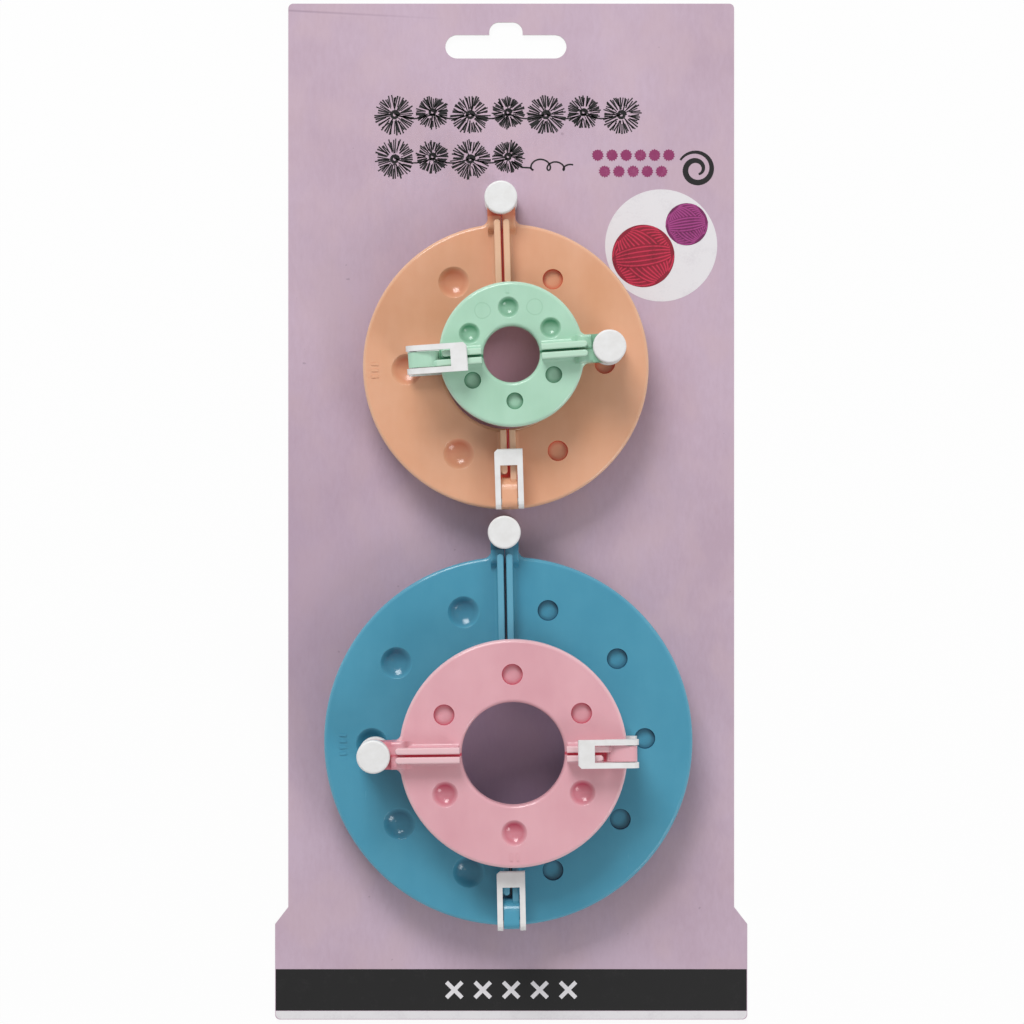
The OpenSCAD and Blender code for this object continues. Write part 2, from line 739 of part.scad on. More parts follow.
mint_rear_post();
mint_rear_plain_arm();
mint_rear_tongue_arm();
mint_rear_clip();
mint_front_post();
mint_front_plain_arm();
mint_front_tongue_arm();
mint_front_clip();
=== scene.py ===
"""Four ring pompom makers in two crosswise stacks on a printed hang card."""

import math
import random

import bmesh
import bpy
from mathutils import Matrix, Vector


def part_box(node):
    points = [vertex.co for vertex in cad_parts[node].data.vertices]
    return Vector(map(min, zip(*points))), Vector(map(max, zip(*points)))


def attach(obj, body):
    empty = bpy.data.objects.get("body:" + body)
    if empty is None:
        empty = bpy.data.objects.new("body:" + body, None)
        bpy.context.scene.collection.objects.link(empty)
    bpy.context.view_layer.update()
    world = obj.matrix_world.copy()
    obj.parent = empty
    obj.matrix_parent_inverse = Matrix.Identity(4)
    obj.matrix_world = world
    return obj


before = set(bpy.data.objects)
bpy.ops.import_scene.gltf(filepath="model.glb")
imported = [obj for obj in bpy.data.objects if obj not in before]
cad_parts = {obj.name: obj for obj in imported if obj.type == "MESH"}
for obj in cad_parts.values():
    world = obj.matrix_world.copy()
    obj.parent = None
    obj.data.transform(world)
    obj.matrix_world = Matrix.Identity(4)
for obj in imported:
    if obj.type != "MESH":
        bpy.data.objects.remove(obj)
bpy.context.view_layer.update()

# ---- Camera ----
# The set lies flat on a table and is seen from straight above, its hang slot away from the viewer.

MM = 0.001
PIXELS = 1024
PIXELS_PER_MM = 4.06  # at the card's face
CAMERA_X = 0.2 * MM
CAMERA_Y = -0.1 * MM
CAMERA_HEIGHT = 1.1
SENSOR = 36.0

scene = bpy.context.scene
camera_data = bpy.data.cameras.new("camera")
camera_data.sensor_width = SENSOR
camera_data.lens = PIXELS_PER_MM / MM * CAMERA_HEIGHT * SENSOR / PIXELS
camera = bpy.data.objects.new("camera", camera_data)
camera.location = (CAMERA_X, CAMERA_Y, CAMERA_HEIGHT)
scene.collection.objects.link(camera)
scene.camera = camera

# ---- Lamps ----
# A soft box stands beyond the hang slot and a weaker one at the near right. Even light comes from
# all round, and three small lamps put sparks in the bowls.

WHITE = (1.0, 1.0, 1.0, 1.0)
EVEN_LIGHT = 0.42

scene.view_settings.view_transform = "Standard"
world = bpy.data.worlds.new("studio")
world.use_nodes = True
background = world.node_tree.nodes["Background"]
background.inputs["Color"].default_value = WHITE
background.inputs["Strength"].default_value = EVEN_LIGHT
scene.world = world


def soft_box(name, place, size, power):
    """A square lamp, in metres and watts, that faces the middle of the table."""
    data = bpy.data.lights.new(name, "AREA")
    data.shape = "SQUARE"
    data.size = size
    data.energy = power
    lamp = bpy.data.objects.new(name, data)
    lamp.location = place
    lamp.rotation_euler = (-Vector(place)).to_track_quat("-Z", "Y").to_euler()
    scene.collection.objects.link(lamp)


soft_box("far_soft_box", (-0.32, 1.08, 1.08), 0.65, 14.5)
soft_box("near_soft_box", (0.9, -0.75, 1.0), 0.5, 4.6)
soft_box("far_lamp", (0.05, 0.6, 1.1), 0.05, 0.18)
soft_box("right_lamp", (0.55, 0.3, 1.0), 0.04, 0.08)
soft_box("near_lamp", (0.35, -0.4, 1.1), 0.05, 0.12)

# ---- White table ----
# A wide matt white table top, just under the card's back. It takes the card's shadow and looks
# nearly plain white to the camera.

FLOOR_HALF = 3.0
FLOOR_DROP = 0.2 * MM
FLOOR_GLOW = 0.93  # share of plain white in what the camera sees
TABLE_WHITE = (0.86, 0.86, 0.86, 1.0)

floor_mesh = bpy.data.meshes.new("table_top")
floor_corners = [(-FLOOR_HALF, -FLOOR_HALF), (FLOOR_HALF, -FLOOR_HALF),
                 (FLOOR_HALF, FLOOR_HALF), (-FLOOR_HALF, FLOOR_HALF)]
floor_mesh.from_pydata([(x, y, -FLOOR_DROP) for x, y in floor_corners], [], [(0, 1, 2, 3)])
table_top = bpy.data.objects.new("table_top", floor_mesh)
scene.collection.objects.link(table_top)


class Field:
    """A number, colour or vector that varies over a surface. Plain sums on it add Math nodes."""

    def __init__(self, finish, socket):
        self.finish = finish
        self.socket = socket

    def maths(self, operation, first, second):
        return self.finish.add("Math", {"operation": operation}, {0: first, 1: second})

    def __add__(self, other):
        return self.maths("ADD", self, other)

    def __sub__(self, other):
        return self.maths("SUBTRACT", self, other)

    def __rsub__(self, other):
        return self.maths("SUBTRACT", other, self)

    def __mul__(self, other):
        return self.maths("MULTIPLY", self, other)

    def __gt__(self, other):
        return self.maths("GREATER_THAN", self, other)

    def __lt__(self, other):
        return self.maths("LESS_THAN", self, other)

    def __abs__(self):
        return self.maths("ABSOLUTE", self, 0.0)

    def root(self):
        return self.maths("SQRT", self, 0.0)

    def modulo(self, step):
        return self.maths("MODULO", self, step)

    def angle_to(self, other):
        """The angle whose sine goes with this field and whose cosine goes with the other."""
        return self.maths("ARCTAN2", self, other)

    def between(self, low, high):
        """0 below low, 1 above high and a straight slope between them."""
        return self.finish.add("MapRange", {"clamp": True},
                               {"Value": self, "From Min": low, "From Max": high})

    __radd__ = __add__
    __rmul__ = __mul__


class Finish:
    """A material with one Principled shader, whose sockets take numbers, colours or fields."""

    # Places of a Mix node's sockets for colours: the factor, the two colours and the blend
    MIX_FACTOR, MIX_FIRST, MIX_SECOND, MIX_BLEND = 0, 6, 7, 2

    def __init__(self, name):
        self.material = bpy.data.materials.new(name)
        self.material.use_nodes = True
        self.nodes = self.material.node_tree.nodes
        self.shader = self.nodes["Principled BSDF"]

    def add(self, kind, settings, sockets, output=0):
        """Adds a node: its settings first, then its sockets. Returns one output as a field."""
        node = self.nodes.new("ShaderNode" + kind)
        for name, value in settings.items():
            setattr(node, name, value)
        for name, value in sockets.items():
            self.plug(node.inputs[name], value)
        return Field(self, node.outputs[output])

    def plug(self, socket, value):
        """Links a field to a socket, or sets the socket to a number or colour."""
        if isinstance(value, Field):
            self.material.node_tree.links.new(value.socket, socket)
        else:
            socket.default_value = value

    def place(self):
        """The point on the surface, in metres."""
        return self.add("TexCoord", {}, {}, "Object")

    def outward(self):
        """The direction that the surface faces."""
        return self.add("TexCoord", {}, {}, "Normal")

    def axes(self, vector):
        """The three numbers of a vector field."""
        split = self.add("SeparateXYZ", {}, {"Vector": vector}).socket.node
        return [Field(self, split.outputs[k]) for k in range(3)]

    def noise(self, scale, detail=2.0, roughness=0.5, stretch=(1.0, 1.0, 1.0)):
        """Soft noise around 0.5, with scale in blotches per metre."""
        place = self.add("VectorMath", {"operation": "MULTIPLY"}, {0: self.place(), 1: stretch})
        return self.add("TexNoise", {},
                        {"Vector": place, "Scale": scale, "Detail": detail, "Roughness": roughness}, "Fac")

    def mix(self, factor, first, second):
        """A blend of two colours."""
        return self.add("Mix", {"data_type": "RGBA"},
                        {self.MIX_FACTOR: factor, self.MIX_FIRST: first, self.MIX_SECOND: second},
                        self.MIX_BLEND)

    def surface(self, **sockets):
        """Sets the shader's sockets, such as Base_Color=..., Roughness=..."""
        for name, value in sockets.items():
            self.plug(self.shader.inputs[name.replace("_", " ")], value)

    def bump(self, height, strength, distance):
        """Raises the surface by a height field, distance metres for each unit of height."""
        self.surface(Normal=self.add("Bump", {},
                                     {"Height": height, "Strength": strength, "Distance": distance}))


table_finish = Finish("white_table")
table_finish.surface(Base_Color=TABLE_WHITE, Roughness=0.9, Specular_IOR_Level=0.1)
seen_by_camera = table_finish.add("LightPath", {}, {}, "Is Camera Ray")
lit = Field(table_finish, table_finish.shader.outputs[0])
white_glow = table_finish.add("Emission", {}, {"Color": WHITE, "Strength": 1.0})
lit_or_white = table_finish.add("MixShader", {}, {0: seen_by_camera * FLOOR_GLOW, 1: lit, 2: white_glow})
table_finish.plug(table_finish.nodes["Material Output"].inputs["Surface"], lit_or_white)
floor_mesh.materials.append(table_finish.material)

# ---- Hang card ----
# One millimetre white board, printed lilac on the front and left plain on the back. The die
# cutter leaves the board's white core showing round its edge and in the hang slot.


def ink(code):
    """A colour from its hex code, as the linear values that a shader takes."""
    parts = [int(code[k:k + 2], 16) / 255 for k in (1, 3, 5)]
    return tuple([p / 12.92 if p <= 0.04045 else ((p + 0.055) / 1.055) ** 2.4 for p in parts] + [1.0])


CARD_LOW, CARD_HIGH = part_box("card")
CARD_FACE = CARD_HIGH[2]
BOARD_WHITE = ink("#E9E7E4")
BOARD_FIBRE = ink("#DAD7D2")
LILAC = ink("#C9B1C3")
LILAC_SHADE = ink("#BDA3B4")
LILAC_BLUSH = ink("#CDB2BC")
# Darker lilac for the painted shade at the card's left, half-way up
LILAC_PAINTED_SHADE = ink("#9A8096")
SPECK = ink("#7C6676")
# Darker lilac painted into the crease as shade
CREASE_SHADE = ink("#9A8296")
DEEP_SIDE = (-56 * MM, -14 * MM)  # the deeper lilac fades out between these places across the card
DEEP_UP = -18 * MM
DEEP_REACH = (14 * MM, 52 * MM)  # and between these distances above and below DEEP_UP
CREASE_DROP = 1.6 * MM  # from the card's top left corner
CREASE_SLOPE = 0.052
CREASE_WIDTH = 0.4 * MM
CREASE_END = (-50 * MM, -14 * MM)
# Discs of painted shade, drawn like print, under the blue and the orange makers' holes: places and radii in
# millimetres, and colour
HOLE_SHADE_DISCS = ((-0.7, -55.85, 24.2, "#7E4672"), (-1.3, 35.3, 16.0, "#C98296"))
DISC_RAGGED = 0.1 * MM

card_finish = Finish("printed_board")
across, up = card_finish.axes(card_finish.place())[:2]
printed = card_finish.axes(card_finish.outward())[2] > 0.5
clouds = card_finish.noise(28.0, 3.0)
fibres = card_finish.noise(900.0, 4.0, 0.7, (1.0, 0.35, 1.0))
grain = card_finish.noise(3500.0, 2.0)
lilac = card_finish.mix((clouds + (fibres - 0.5) * 0.5).between(0.35, 0.72), LILAC, LILAC_SHADE)
blush = card_finish.noise(95.0, 2.0, 0.5, (1.0, 0.7, 1.0)).between(0.45, 0.62)
lilac = card_finish.mix(blush * 0.35, lilac, LILAC_BLUSH)

# Painted shade: the lilac is a little deeper towards the left edge, half-way up the card
leftward = 1 - across.between(*DEEP_SIDE)
half_way_up = 1 - abs(up - DEEP_UP).between(*DEEP_REACH)
lilac = card_finish.mix(leftward * half_way_up * 0.42, lilac, LILAC_PAINTED_SHADE)

specks = card_finish.noise(620.0, 1.0).between(0.80, 0.83)
lilac = card_finish.mix(specks * 0.35, lilac, SPECK)
# A crease across the top left: a dent made by the bump, darkened along its line with painted shade
crease_up = CARD_HIGH[1] - CREASE_DROP - (across - CARD_LOW[0]) * CREASE_SLOPE
crease = (1 - abs(up - crease_up).between(0.0, CREASE_WIDTH)) * (1 - across.between(*CREASE_END))
lilac = card_finish.mix(crease * 0.6, lilac, CREASE_SHADE)
# Painted shade: darker discs where the card lies in shade under the makers' holes
for disc_x, disc_y, disc_r, plum in HOLE_SHADE_DISCS:
    off_x = across - disc_x * MM
    off_y = up - disc_y * MM
    ragged_r = (off_x * off_x + off_y * off_y).root() + (fibres - 0.5) * DISC_RAGGED
    lilac = card_finish.mix((ragged_r < disc_r * MM) * 0.48, lilac, ink(plum))
board = card_finish.mix(fibres.between(0.3, 0.7), BOARD_WHITE, BOARD_FIBRE)
card_finish.surface(
    Base_Color=card_finish.mix(printed, board, lilac),
    Roughness=0.46 + (fibres - 0.5) * 0.2,
    Coat_Weight=printed * 0.15,
    Coat_Roughness=0.3)
card_finish.bump(grain * 0.4 + fibres * 0.6 - crease * 1.5, 0.35, 0.06 * MM)


def coat_node(node, finish):
    """Gives a CAD node's object one finish all over."""
    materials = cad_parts[node].data.materials
    materials.clear()
    materials.append(finish.material)


coat_node("card", card_finish)

# ---- Printing on the card ----
# Flat ink in four colours, a few hundredths of a millimetre over the board. The designs are plain
# craft motifs: pompoms on a thread, a curl of thread, wound wool and cross-stitches. Their places
# and sizes are in millimetres.

INK_T = 0.03 * MM


def ink_layer(name, outlines, finish, level=0):
    """Flat prisms with these outlines, on the card or on as many layers of ink as level says."""
    low = CARD_FACE + level * INK_T
    build = bmesh.new()
    for outline in outlines:
        corners = [build.verts.new((x * MM, y * MM, low + INK_T)) for x, y in outline]
        feet = [build.verts.new((v.co.x, v.co.y, low)) for v in corners]
        build.faces.new(corners)
        for k in range(len(corners)):
            after = (k + 1) % len(corners)
            build.faces.new((corners[k], corners[after], feet[after], feet[k]))
        build.faces.new(list(reversed(feet)))
    bmesh.ops.recalc_face_normals(build, faces=build.faces)
    mesh = bpy.data.meshes.new(name)
    build.to_mesh(mesh)
    build.free()
    mesh.materials.append(finish.material)
    layer = bpy.data.objects.new(name, mesh)
    scene.collection.objects.link(layer)
    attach(layer, "card")


def printing_ink(name, colour, faded, cover=0.5):
    """Ink that has soaked unevenly into the board."""
    finish = Finish(name)
    patches = finish.noise(260.0, 3.0, 0.6)
    pores = finish.noise(1800.0, 2.0, 0.6)
    finish.surface(
        Base_Color=finish.mix((patches * 0.6 + pores * 0.4).between(cover, cover + 0.25), colour, faded),
        Roughness=0.42 + pores * 0.15)
    finish.bump(pores, 0.3, 0.03 * MM)
    return finish


def polar(x, y, r, angle):
    """The point at distance r from (x, y), in the direction of this angle in radians."""
    return (x + r * math.cos(angle), y + r * math.sin(angle))


def stroke(points, width):
    """The outlines of a line of constant or changing width through points, as four-sided pieces."""
    widths = width if isinstance(width, list) else [width] * len(points)
    sides = []
    for k, (x, y) in enumerate(points):
        before = points[max(k - 1, 0)]
        after = points[min(k + 1, len(points) - 1)]
        along = Vector((after[0] - before[0], after[1] - before[1])).normalized()
        nudge = Vector((-along.y, along.x)) * widths[k] / 2
        sides.append(((x + nudge.x, y + nudge.y), (x - nudge.x, y - nudge.y)))
    return [[sides[k][0], sides[k + 1][0], sides[k + 1][1], sides[k][1]] for k in range(len(sides) - 1)]


black_ink = printing_ink("black_ink", ink("#0F0E0F"), ink("#222021"), 0.55)
plum_ink = printing_ink("plum_ink", ink("#8E2E63"), ink("#A4527D"))
white_ink = printing_ink("white_ink", ink("#E6E3E6"), ink("#DBD7DB"))
draw = random.Random(7)

# Two garlands of pompoms, each pompom a ring of loose pen strokes
POMPOM_PITCH = 9.3
POMPOM_R = (4.9, 4.1)
POMPOM_LIFT = (-0.2, 0.4)
PEN_STROKES = 50
PEN_CURLS = 22
PEN_WIDTH = 0.4
THREAD_WIDTH = 0.35
THREAD_SAG = 1.1
THREAD_STEPS = 90
GARLAND_LEFT = -33.3


def pompom(x, y, r):
    """Pen strokes that run outwards round a middle, some long and some short, over a few inner curls."""
    parts = []
    for k in range(PEN_STROKES):
        angle = 2 * math.pi * (k + draw.uniform(-0.35, 0.35)) / PEN_STROKES
        lean = draw.uniform(-0.16, 0.16)
        start = r * draw.uniform(0.2, 0.5)
        end = r * draw.uniform(0.84, 1.04)
        widths = [draw.uniform(0.2, 0.34), draw.uniform(0.26, 0.44)]
        parts += stroke([polar(x, y, start, angle + lean), polar(x, y, end, angle)], widths)
    curls = [polar(x, y, r * 0.24 * (1 - k / 30), 0.7 * k) for k in range(PEN_CURLS)]
    return parts + stroke(curls, PEN_WIDTH)


def garland(name, middle_y, count):
    """Pompoms of two sizes in a row, joined by a slack thread."""
    parts = []
    for k in range(count):
        size = k % 2
        middle_x = GARLAND_LEFT + POMPOM_PITCH * (k + 0.5)
        parts += pompom(middle_x, middle_y + POMPOM_LIFT[size], POMPOM_R[size])
    thread = []
    for k in range(THREAD_STEPS + 1):
        pitches = (count - 1) * k / THREAD_STEPS
        thread.append((GARLAND_LEFT + POMPOM_PITCH * (0.5 + pitches),
                       middle_y - THREAD_SAG * abs(math.sin(math.pi * pitches))))
    ink_layer(name, parts + stroke(thread, THREAD_WIDTH), black_ink)


garland("garland_upper", 97.8, 7)
garland("garland_lower", 86.9, 4)

# The thread's loose end, which leaves the lower garland in two small loops
YARN_X = 4.6
YARN_Y = 84.6
YARN_STEP = 0.589  # run of the loops for each radian of their turn
YARN_TURN = 5.2 * math.pi
YARN_STEPS = 72
LOOP_R = 1.5

yarn_end = [(YARN_X - 4.5, YARN_Y + 1.6), (YARN_X - 2.0, YARN_Y + 0.1), (YARN_X, YARN_Y)]
for k in range(YARN_STEPS):
    share = k / YARN_STEPS
    turn = share * YARN_TURN
    loop = LOOP_R * (1 - 0.55 * share)
    yarn_end.append((YARN_X + 0.9 + YARN_STEP * turn - loop * math.sin(turn),
                     YARN_Y - 0.6 + loop * (1 - math.cos(turn))))
ink_layer("yarn_end", stroke(yarn_end, PEN_WIDTH), black_ink)

# Two rows of little plum pompoms with ragged rims
LITTLE_R = 1.45
LITTLE_PITCH = 3.5
LITTLE_ROWS = ((21.3, 87.7, 6), (23.0, 83.7, 5))  # left end, height on the card and count
LITTLE_POINTS = 28


def little_pompom(x, y):
    """A rim whose corners lie by turns further out and further in."""
    rim = []
    for k in range(LITTLE_POINTS):
        size = draw.uniform(1.0, 1.1) if k % 2 else draw.uniform(0.82, 0.9)
        rim.append(polar(x, y, LITTLE_R * size, 2 * math.pi * k / LITTLE_POINTS))
    return rim


little_pompoms = [little_pompom(left + LITTLE_PITCH * k, row_y)
                  for left, row_y, count in LITTLE_ROWS for k in range(count)]
ink_layer("little_pompoms", little_pompoms, plum_ink)

# A curl of thread that winds inwards, thickest half-way
CURL_X = 45.6
CURL_Y = 84.2
CURL_R = 4.6
CURL_START = math.radians(150)
CURL_TURNS = 1.6
CURL_STEPS = 60

curl = []
curl_widths = []
for k in range(CURL_STEPS + 1):
    share = k / CURL_STEPS
    angle = CURL_START - 2 * math.pi * CURL_TURNS * share
    curl.append(polar(CURL_X, CURL_Y, CURL_R * (1 - 0.72 * share), angle))
    curl_widths.append(0.5 + 0.9 * math.sin(math.pi * share))
ink_layer("thread_curl", stroke(curl, curl_widths), black_ink)

# A white spot with two balls of wool
SPOT_X = 36.9
SPOT_Y = 65.5
SPOT_R = 13.8
SPOT_STEPS = 128
WRAP_STEPS = 60
STRAND_STEPS = 8  # from the middle of a strand to a pole of its wrap
STRAND_WIDTH = 0.34
WOOL_WRAPS = ((35, 1.0, 13), (-48, 0.64, 9), (8, 0.36, 5))  # lean in degrees, width and strands

ink_layer("white_spot", [[polar(SPOT_X, SPOT_Y, SPOT_R, 2 * math.pi * k / SPOT_STEPS)
                          for k in range(SPOT_STEPS)]], white_ink)


def leaning(x, y, lean, along, aside):
    """The point this far along and beside a line through (x, y) with this lean in radians."""
    return (x + along * math.cos(lean) - aside * math.sin(lean),
            y + along * math.sin(lean) + aside * math.cos(lean))


def wool_ball(name, x, y, r, colour, dark, light):
    """A ball of wool: three wraps that lie over one another, each with curved strands from pole to pole."""
    base = printing_ink(name + "_ink", colour, dark, 0.42)
    strand_ink = printing_ink(name + "_strand_ink", light, colour)
    for wrap, (degrees, width, rows) in enumerate(WOOL_WRAPS):
        lean = math.radians(degrees)
        rim = []
        for k in range(WRAP_STEPS):
            angle = 2 * math.pi * k / WRAP_STEPS
            rim.append(leaning(x, y, lean, r * math.cos(angle), r * width * math.sin(angle)))
        ink_layer(f"{name}_wrap_{wrap}", [rim], base, 1 + 2 * wrap)
        strands = []
        for row in range(rows):
            share = (2 * (row + 0.5) / rows - 1) * width
            strand = []
            for k in range(1 - STRAND_STEPS, STRAND_STEPS):
                along = k * r / STRAND_STEPS
                strand.append(leaning(x, y, lean, along, share * math.sqrt(r * r - along ** 2)))
            strands += stroke(strand, STRAND_WIDTH)
        ink_layer(f"{name}_strands_{wrap}", strands, strand_ink, 2 + 2 * wrap)


wool_ball("red_wool_ball", SPOT_X - 4.4, SPOT_Y - 2.6, 7.7, ink("#96102F"), ink("#740A24"), ink("#C92A4B"))
wool_ball("plum_wool_ball", SPOT_X + 6.3, SPOT_Y + 5.2, 5.2, ink("#7A1A5C"), ink("#5C1046"), ink("#A53F84"))

# The foot's black band and under it a pale strip with round lower corners
PRINT_MARGIN = 0.15
BAND_TOP = -112.6
BAND_LOW = -122.8
FOOT_HALF = CARD_HIGH[0] / MM - PRINT_MARGIN
STRIP_TOP = BAND_LOW - 0.1
STRIP_LOW = CARD_LOW[1] / MM + PRINT_MARGIN
STRIP_CORNER_R = 1.3
CORNER_STEPS = 8

band = [(-FOOT_HALF, BAND_LOW), (FOOT_HALF, BAND_LOW), (FOOT_HALF, BAND_TOP), (-FOOT_HALF, BAND_TOP)]
ink_layer("black_band", [band], black_ink)
strip = [(-FOOT_HALF, STRIP_TOP), (FOOT_HALF, STRIP_TOP)]
for side, first in ((1, 0), (-1, -90)):
    for k in range(CORNER_STEPS + 1):
        strip.append(polar(side * (FOOT_HALF - STRIP_CORNER_R), STRIP_LOW + STRIP_CORNER_R, STRIP_CORNER_R,
                           math.radians(first - 90 * k / CORNER_STEPS)))
ink_layer("pale_strip", [strip], white_ink)

# A row of cross-stitches along the band
CROSS_COUNT = 5
CROSS_PITCH = 7.0
CROSS_REACH = 2.7
CROSS_HALF = 0.5  # half a leg's width


def cross(x, y):
    """A cross-stitch in one outline: for each leg its two end corners and the inner corner after it."""
    corners = []
    for k in range(4):
        angle = math.radians(45 + 90 * k)
        end = polar(x, y, CROSS_REACH, angle)
        corners.append(polar(*end, CROSS_HALF, angle - math.pi / 2))
        corners.append(polar(*end, CROSS_HALF, angle + math.pi / 2))
        corners.append(polar(x, y, math.sqrt(2) * CROSS_HALF, angle + math.pi / 4))
    return corners


crosses = [cross(CROSS_PITCH * (k - (CROSS_COUNT - 1) / 2), (BAND_TOP + BAND_LOW) / 2)
           for k in range(CROSS_COUNT)]
ink_layer("cross_stitches", crosses, white_ink, 1)

# ---- Ring arms ----
# Half rings with ribs, injection-moulded in a pastel plastic with a soft shine, into which light sinks
# a little. The thin ribs and the rims are made paler with painted highlight, and the slit, the necks
# under the caps and the sunk dimples deeper in colour with painted shade and a painted glow.

PLATE_T = 2.0 * MM
HALF_GAP = 0.8 * MM  # from a half's back to the middle between the halves
HINGE_OUT = 6.0 * MM  # from the rim to the hinge
RIB_H = 5.0 * MM
RIB_FOOT = 0.6 * MM  # height over the plate where the ribs begin to pale
RIB_SIDE = 2.1 * MM  # distance of the ribs' outer sides from the slit's middle, and a little more
RIB_FACE = 0.38 * MM  # distance of the ribs' facing sides from it, and a little more
RIM_WIDTH = 0.9 * MM
RIM_SLACK = 0.1 * MM
RIM_TOP = 0.2 * MM
NECK_SIDE = 3.6 * MM
NECK_H = 2.7 * MM
NECK_FADE = 2.0 * MM
NECK_L = 2.4 * MM  # from the rim to the hinge lug
TONGUE_L = 7.2 * MM  # length of the tongue, less its round inner end
FOOT_L = 1.2 * MM  # from the tongue's inner end to the plain arm's ribs
DIMPLE_DEPTH = 1.7 * MM  # and a little more
DIMPLE_LIP = 0.06 * MM
DIMPLE_FADE = 0.9 * MM
DIMPLE_IN = 0.85 * MM  # distance of the ring of dimples from half-way between hole and rim
DIMPLE_MARGIN = 1.1 * MM  # plain rim outside and inside the dimples
DISH_EDGE = 1.1 * MM
MARK_R = 1.9 * MM  # the ejector pins' marks, between the dimples
MARK_OUT = 1.3 * MM  # how far the marks' ring lies outside that of the dimples
MARK_LINE = 0.22 * MM
BLACK = ink("#000000")

# A maker's colours are the plate, a second tone for its mottling, the paler painted highlight of the
# ribs and rims, the darker painted shade of the necks, slit and dimples, which also tints the pin
# marks, and the painted glow inside the slit. tongue_out is how far the tongue stands out past the
# ring, the bowls' entry how strong the painted shade is in the bowls, and pin_marks is 1 where the
# ejector pins left marks.
MAKERS = {
    "blue": {
        "colours": ("#509DB8", "#4795B1", "#74B1C9", "#0C3A5A", "#030D1A"),
        "ring_r": 44.85 * MM, "hole_r": 23.3 * MM, "tongue_out": 0.8 * MM, "slit_turn": math.radians(1.1),
        "dimples": 5, "dish_r": 2.55 * MM, "bowl_depth": 0.26, "pin_marks": 0},
    "orange": {
        "colours": ("#E6AE8D", "#DEA27E", "#ECCAAC", "#BC4418", "#8D0A02"),
        "ring_r": 34.8 * MM, "hole_r": 15.1 * MM, "tongue_out": -0.1 * MM, "slit_turn": math.radians(1.7),
        "dimples": 3, "dish_r": 2.5 * MM, "bowl_depth": 0.26, "pin_marks": 0},
    "pink": {
        "colours": ("#E5AFB8", "#DDA4AE", "#F3D8DB", "#B83A56", "#86182A"),
        "ring_r": 27.5 * MM, "hole_r": 12.4 * MM, "tongue_out": 2.6 * MM, "slit_turn": math.radians(90.7),
        "dimples": 3, "dish_r": 2.55 * MM, "bowl_depth": 0.5, "pin_marks": 0},
    "mint": {
        "colours": ("#B8DFC8", "#AAD3BA", "#CBE7D3", "#2F8258", "#05402A"),
        "ring_r": 17.5 * MM, "hole_r": 6.8 * MM, "tongue_out": 7.7 * MM, "slit_turn": math.radians(-86.0),
        "dimples": 3, "dish_r": 2.05 * MM, "bowl_depth": 0.42, "pin_marks": 1},
}


def from_spot(radius, around, row_r, step):
    """Distance from the nearest spot of a row round the middle, with a spot half-way along each step."""
    past_spot = around.modulo(step) - step / 2
    off_row = radius - row_r
    return (off_row * off_row + radius * past_spot * radius * past_spot).root()


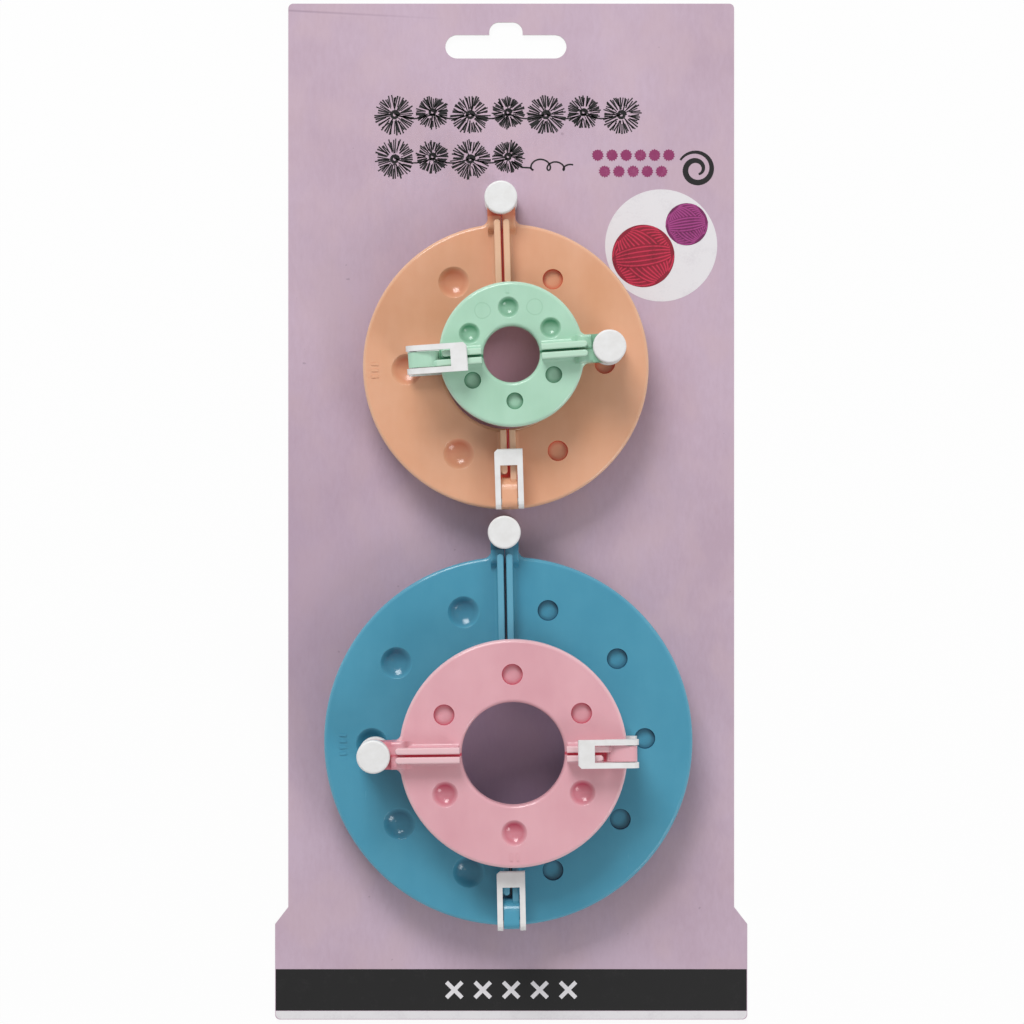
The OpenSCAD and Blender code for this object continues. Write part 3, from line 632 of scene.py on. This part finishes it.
def ring_plastic(name, middle, colours, ring_r, hole_r, tongue_out, slit_turn, dimples, dish_r,
                 bowl_depth, pin_marks):
    """The plastic of one maker, whose sizes place the ribs, necks, dimples and pin marks and their painted
    highlight, shade and glow.
    """
    colour, shade, highlight_tint, shade_and_mark_tint, glow = [ink(code) for code in colours]
    finish = Finish(name)
    x, y, z = finish.axes(finish.place())
    right = x - middle[0]
    ahead = y - middle[1]
    beside_slit = right * math.cos(slit_turn) + ahead * math.sin(slit_turn)
    from_slit = abs(beside_slit)
    to_hinge = ahead * math.cos(slit_turn) - right * math.sin(slit_turn)
    radius = (right * right + ahead * ahead).root()
    around = beside_slit.angle_to(to_hinge)
    over_middle = z - middle[2]
    over_plate = abs(over_middle) - (HALF_GAP + PLATE_T)

    # Plates, with painted highlight on the ribs and rims and painted shade on the necks under the caps
    clouds = finish.noise(55.0, 3.0, 0.55)
    streaks = finish.noise(170.0, 3.0, 0.6, (1.0, 0.25, 1.0))
    pores = finish.noise(4200.0, 2.0, 0.6)
    body = finish.mix((clouds * 0.7 + streaks * 0.3).between(0.38, 0.66), colour, shade)
    tongue_end = TONGUE_L - (ring_r + tongue_out)
    beyond_tongue = to_hinge > tongue_end
    on_rib = over_plate.between(RIB_FOOT, RIB_H) * (from_slit < RIB_SIDE) * beyond_tongue
    body = finish.mix(on_rib * 0.55, body, highlight_tint)
    # Painted highlight along the rim's rounded edge
    in_rim = (radius < ring_r + RIM_SLACK) * (over_plate < RIM_TOP)
    on_rim = radius.between(ring_r - RIM_WIDTH, ring_r) * in_rim
    body = finish.mix(on_rim * 0.5, body, highlight_tint)
    # Painted shade on the necks, strongest next to the caps
    in_neck = (over_plate < NECK_H) * (from_slit < NECK_SIDE)
    on_neck = to_hinge.between(ring_r, ring_r + NECK_FADE) * in_neck
    body = finish.mix(on_neck * 0.4, body, shade_and_mark_tint)

    # Dimples: dishes on the tongue arm's side and bowls on the plain arm's. Painted shade darkens them,
    # most on their walls, on the walls that face away from the far soft box and round the dishes' edges.
    sunk = -1 * over_plate
    in_row = (radius > hole_r + DIMPLE_MARGIN) * (radius < ring_r - DIMPLE_MARGIN)
    dimple = sunk.between(DIMPLE_LIP, DIMPLE_FADE) * in_row * (sunk < DIMPLE_DEPTH)
    lean_y, lean_z = finish.axes(finish.outward())[1:]
    wall = 1 - abs(lean_z).between(0.25, 0.95)
    far_wall_shade = (-1 * lean_y).between(0.0, 0.55)
    step = math.pi / dimples
    row_r = (ring_r + hole_r) / 2 - DIMPLE_IN
    on_dish_side = beside_slit * over_middle > 0
    from_dimple = from_spot(radius, abs(around), row_r, step)
    dish_edge = from_dimple.between(dish_r - DISH_EDGE, dish_r) * on_dish_side
    floor_shade = bowl_depth - (bowl_depth - 0.1) * on_dish_side
    body = finish.mix(dimple * (floor_shade + wall * 0.45 + far_wall_shade * 0.4 + dish_edge * 0.55), body, shade_and_mark_tint)

    # Painted shade in the slit between the ribs, and in the gap between the tongue and the plain arm's ribs
    along_ribs = beyond_tongue * (to_hinge < ring_r + NECK_L)
    at_tongue_end = (abs(to_hinge - tongue_end - FOOT_L / 2) < FOOT_L / 2) * (from_slit < RIB_SIDE)
    below_tops = 1 - over_plate.between(RIB_H * 0.15, RIB_H * 0.8)
    in_slit = ((from_slit < RIB_FACE) * along_ribs + at_tongue_end > 0.5) * below_tops
    body = finish.mix(in_slit * 0.75, body, shade_and_mark_tint)

    from_mark = from_spot(radius, abs(around + step / 2), row_r + MARK_OUT, step)
    mark_line = 1 - abs(from_mark - MARK_R).between(0.0, MARK_LINE)
    mark = mark_line * (from_slit > 2 * NECK_SIDE) * (1 - on_dish_side) * pin_marks
    body = finish.mix(mark * 0.16, body, shade_and_mark_tint)

    scuffs = finish.noise(700.0, 4.0, 0.75, (1.0, 0.08, 1.0)).between(0.66, 0.74)
    # A painted glow, given by the emission, in the slit, in the necks and on the dimples' walls and dish
    # edges
    painted_glow_mask = in_slit * 0.8 + on_neck * 0.35 + dimple * (wall + dish_edge) * 0.3
    finish.surface(
        Base_Color=body,
        Roughness=0.13 + streaks * 0.08 + scuffs * 0.14,
        Subsurface_Weight=0.12,
        Subsurface_Radius=(1.0, 0.8, 0.7),
        Subsurface_Scale=0.8 * MM,
        Emission_Color=finish.mix(painted_glow_mask, BLACK, glow),
        Emission_Strength=0.6)
    finish.bump(pores * 0.3 + clouds * 1.2 + scuffs * 0.2 - mark * 2, 0.25, 0.05 * MM)
    return finish


for maker, sizes in MAKERS.items():
    post_low, post_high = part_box(maker + "_front_post")
    rear_post_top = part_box(maker + "_rear_post")[1][2]
    reach = sizes["ring_r"] + HINGE_OUT
    middle = ((post_low[0] + post_high[0]) / 2 + reach * math.sin(sizes["slit_turn"]),
              (post_low[1] + post_high[1]) / 2 - reach * math.cos(sizes["slit_turn"]),
              rear_post_top)
    plastic = ring_plastic(maker + "_plastic", middle, **sizes)
    for half in ("front", "rear"):
        for arm in ("plain_arm", "tongue_arm"):
            coat_node(f"{maker}_{half}_{arm}", plastic)

# ---- Caps, pins and clips ----
# Moulded in white, with a slightly duller skin than the rings. The posts carry the arms, and each
# clip snaps into its tongue.

white_finish = Finish("white_plastic")
cast = white_finish.noise(300.0, 3.0, 0.6)
skin = white_finish.noise(3600.0, 2.0, 0.6)
white_finish.surface(
    Base_Color=white_finish.mix(cast.between(0.35, 0.7), ink("#EDEDED"), ink("#E4E3E2")),
    Roughness=0.34 + cast * 0.08,
    Subsurface_Weight=0.1,
    Subsurface_Radius=(1.0, 1.0, 1.0),
    Subsurface_Scale=0.6 * MM)
white_finish.bump(skin * 0.3 + cast, 0.2, 0.04 * MM)
for maker in MAKERS:
    for half in ("front", "rear"):
        coat_node(f"{maker}_{half}_post", white_finish)
        coat_node(f"{maker}_{half}_clip", white_finish)
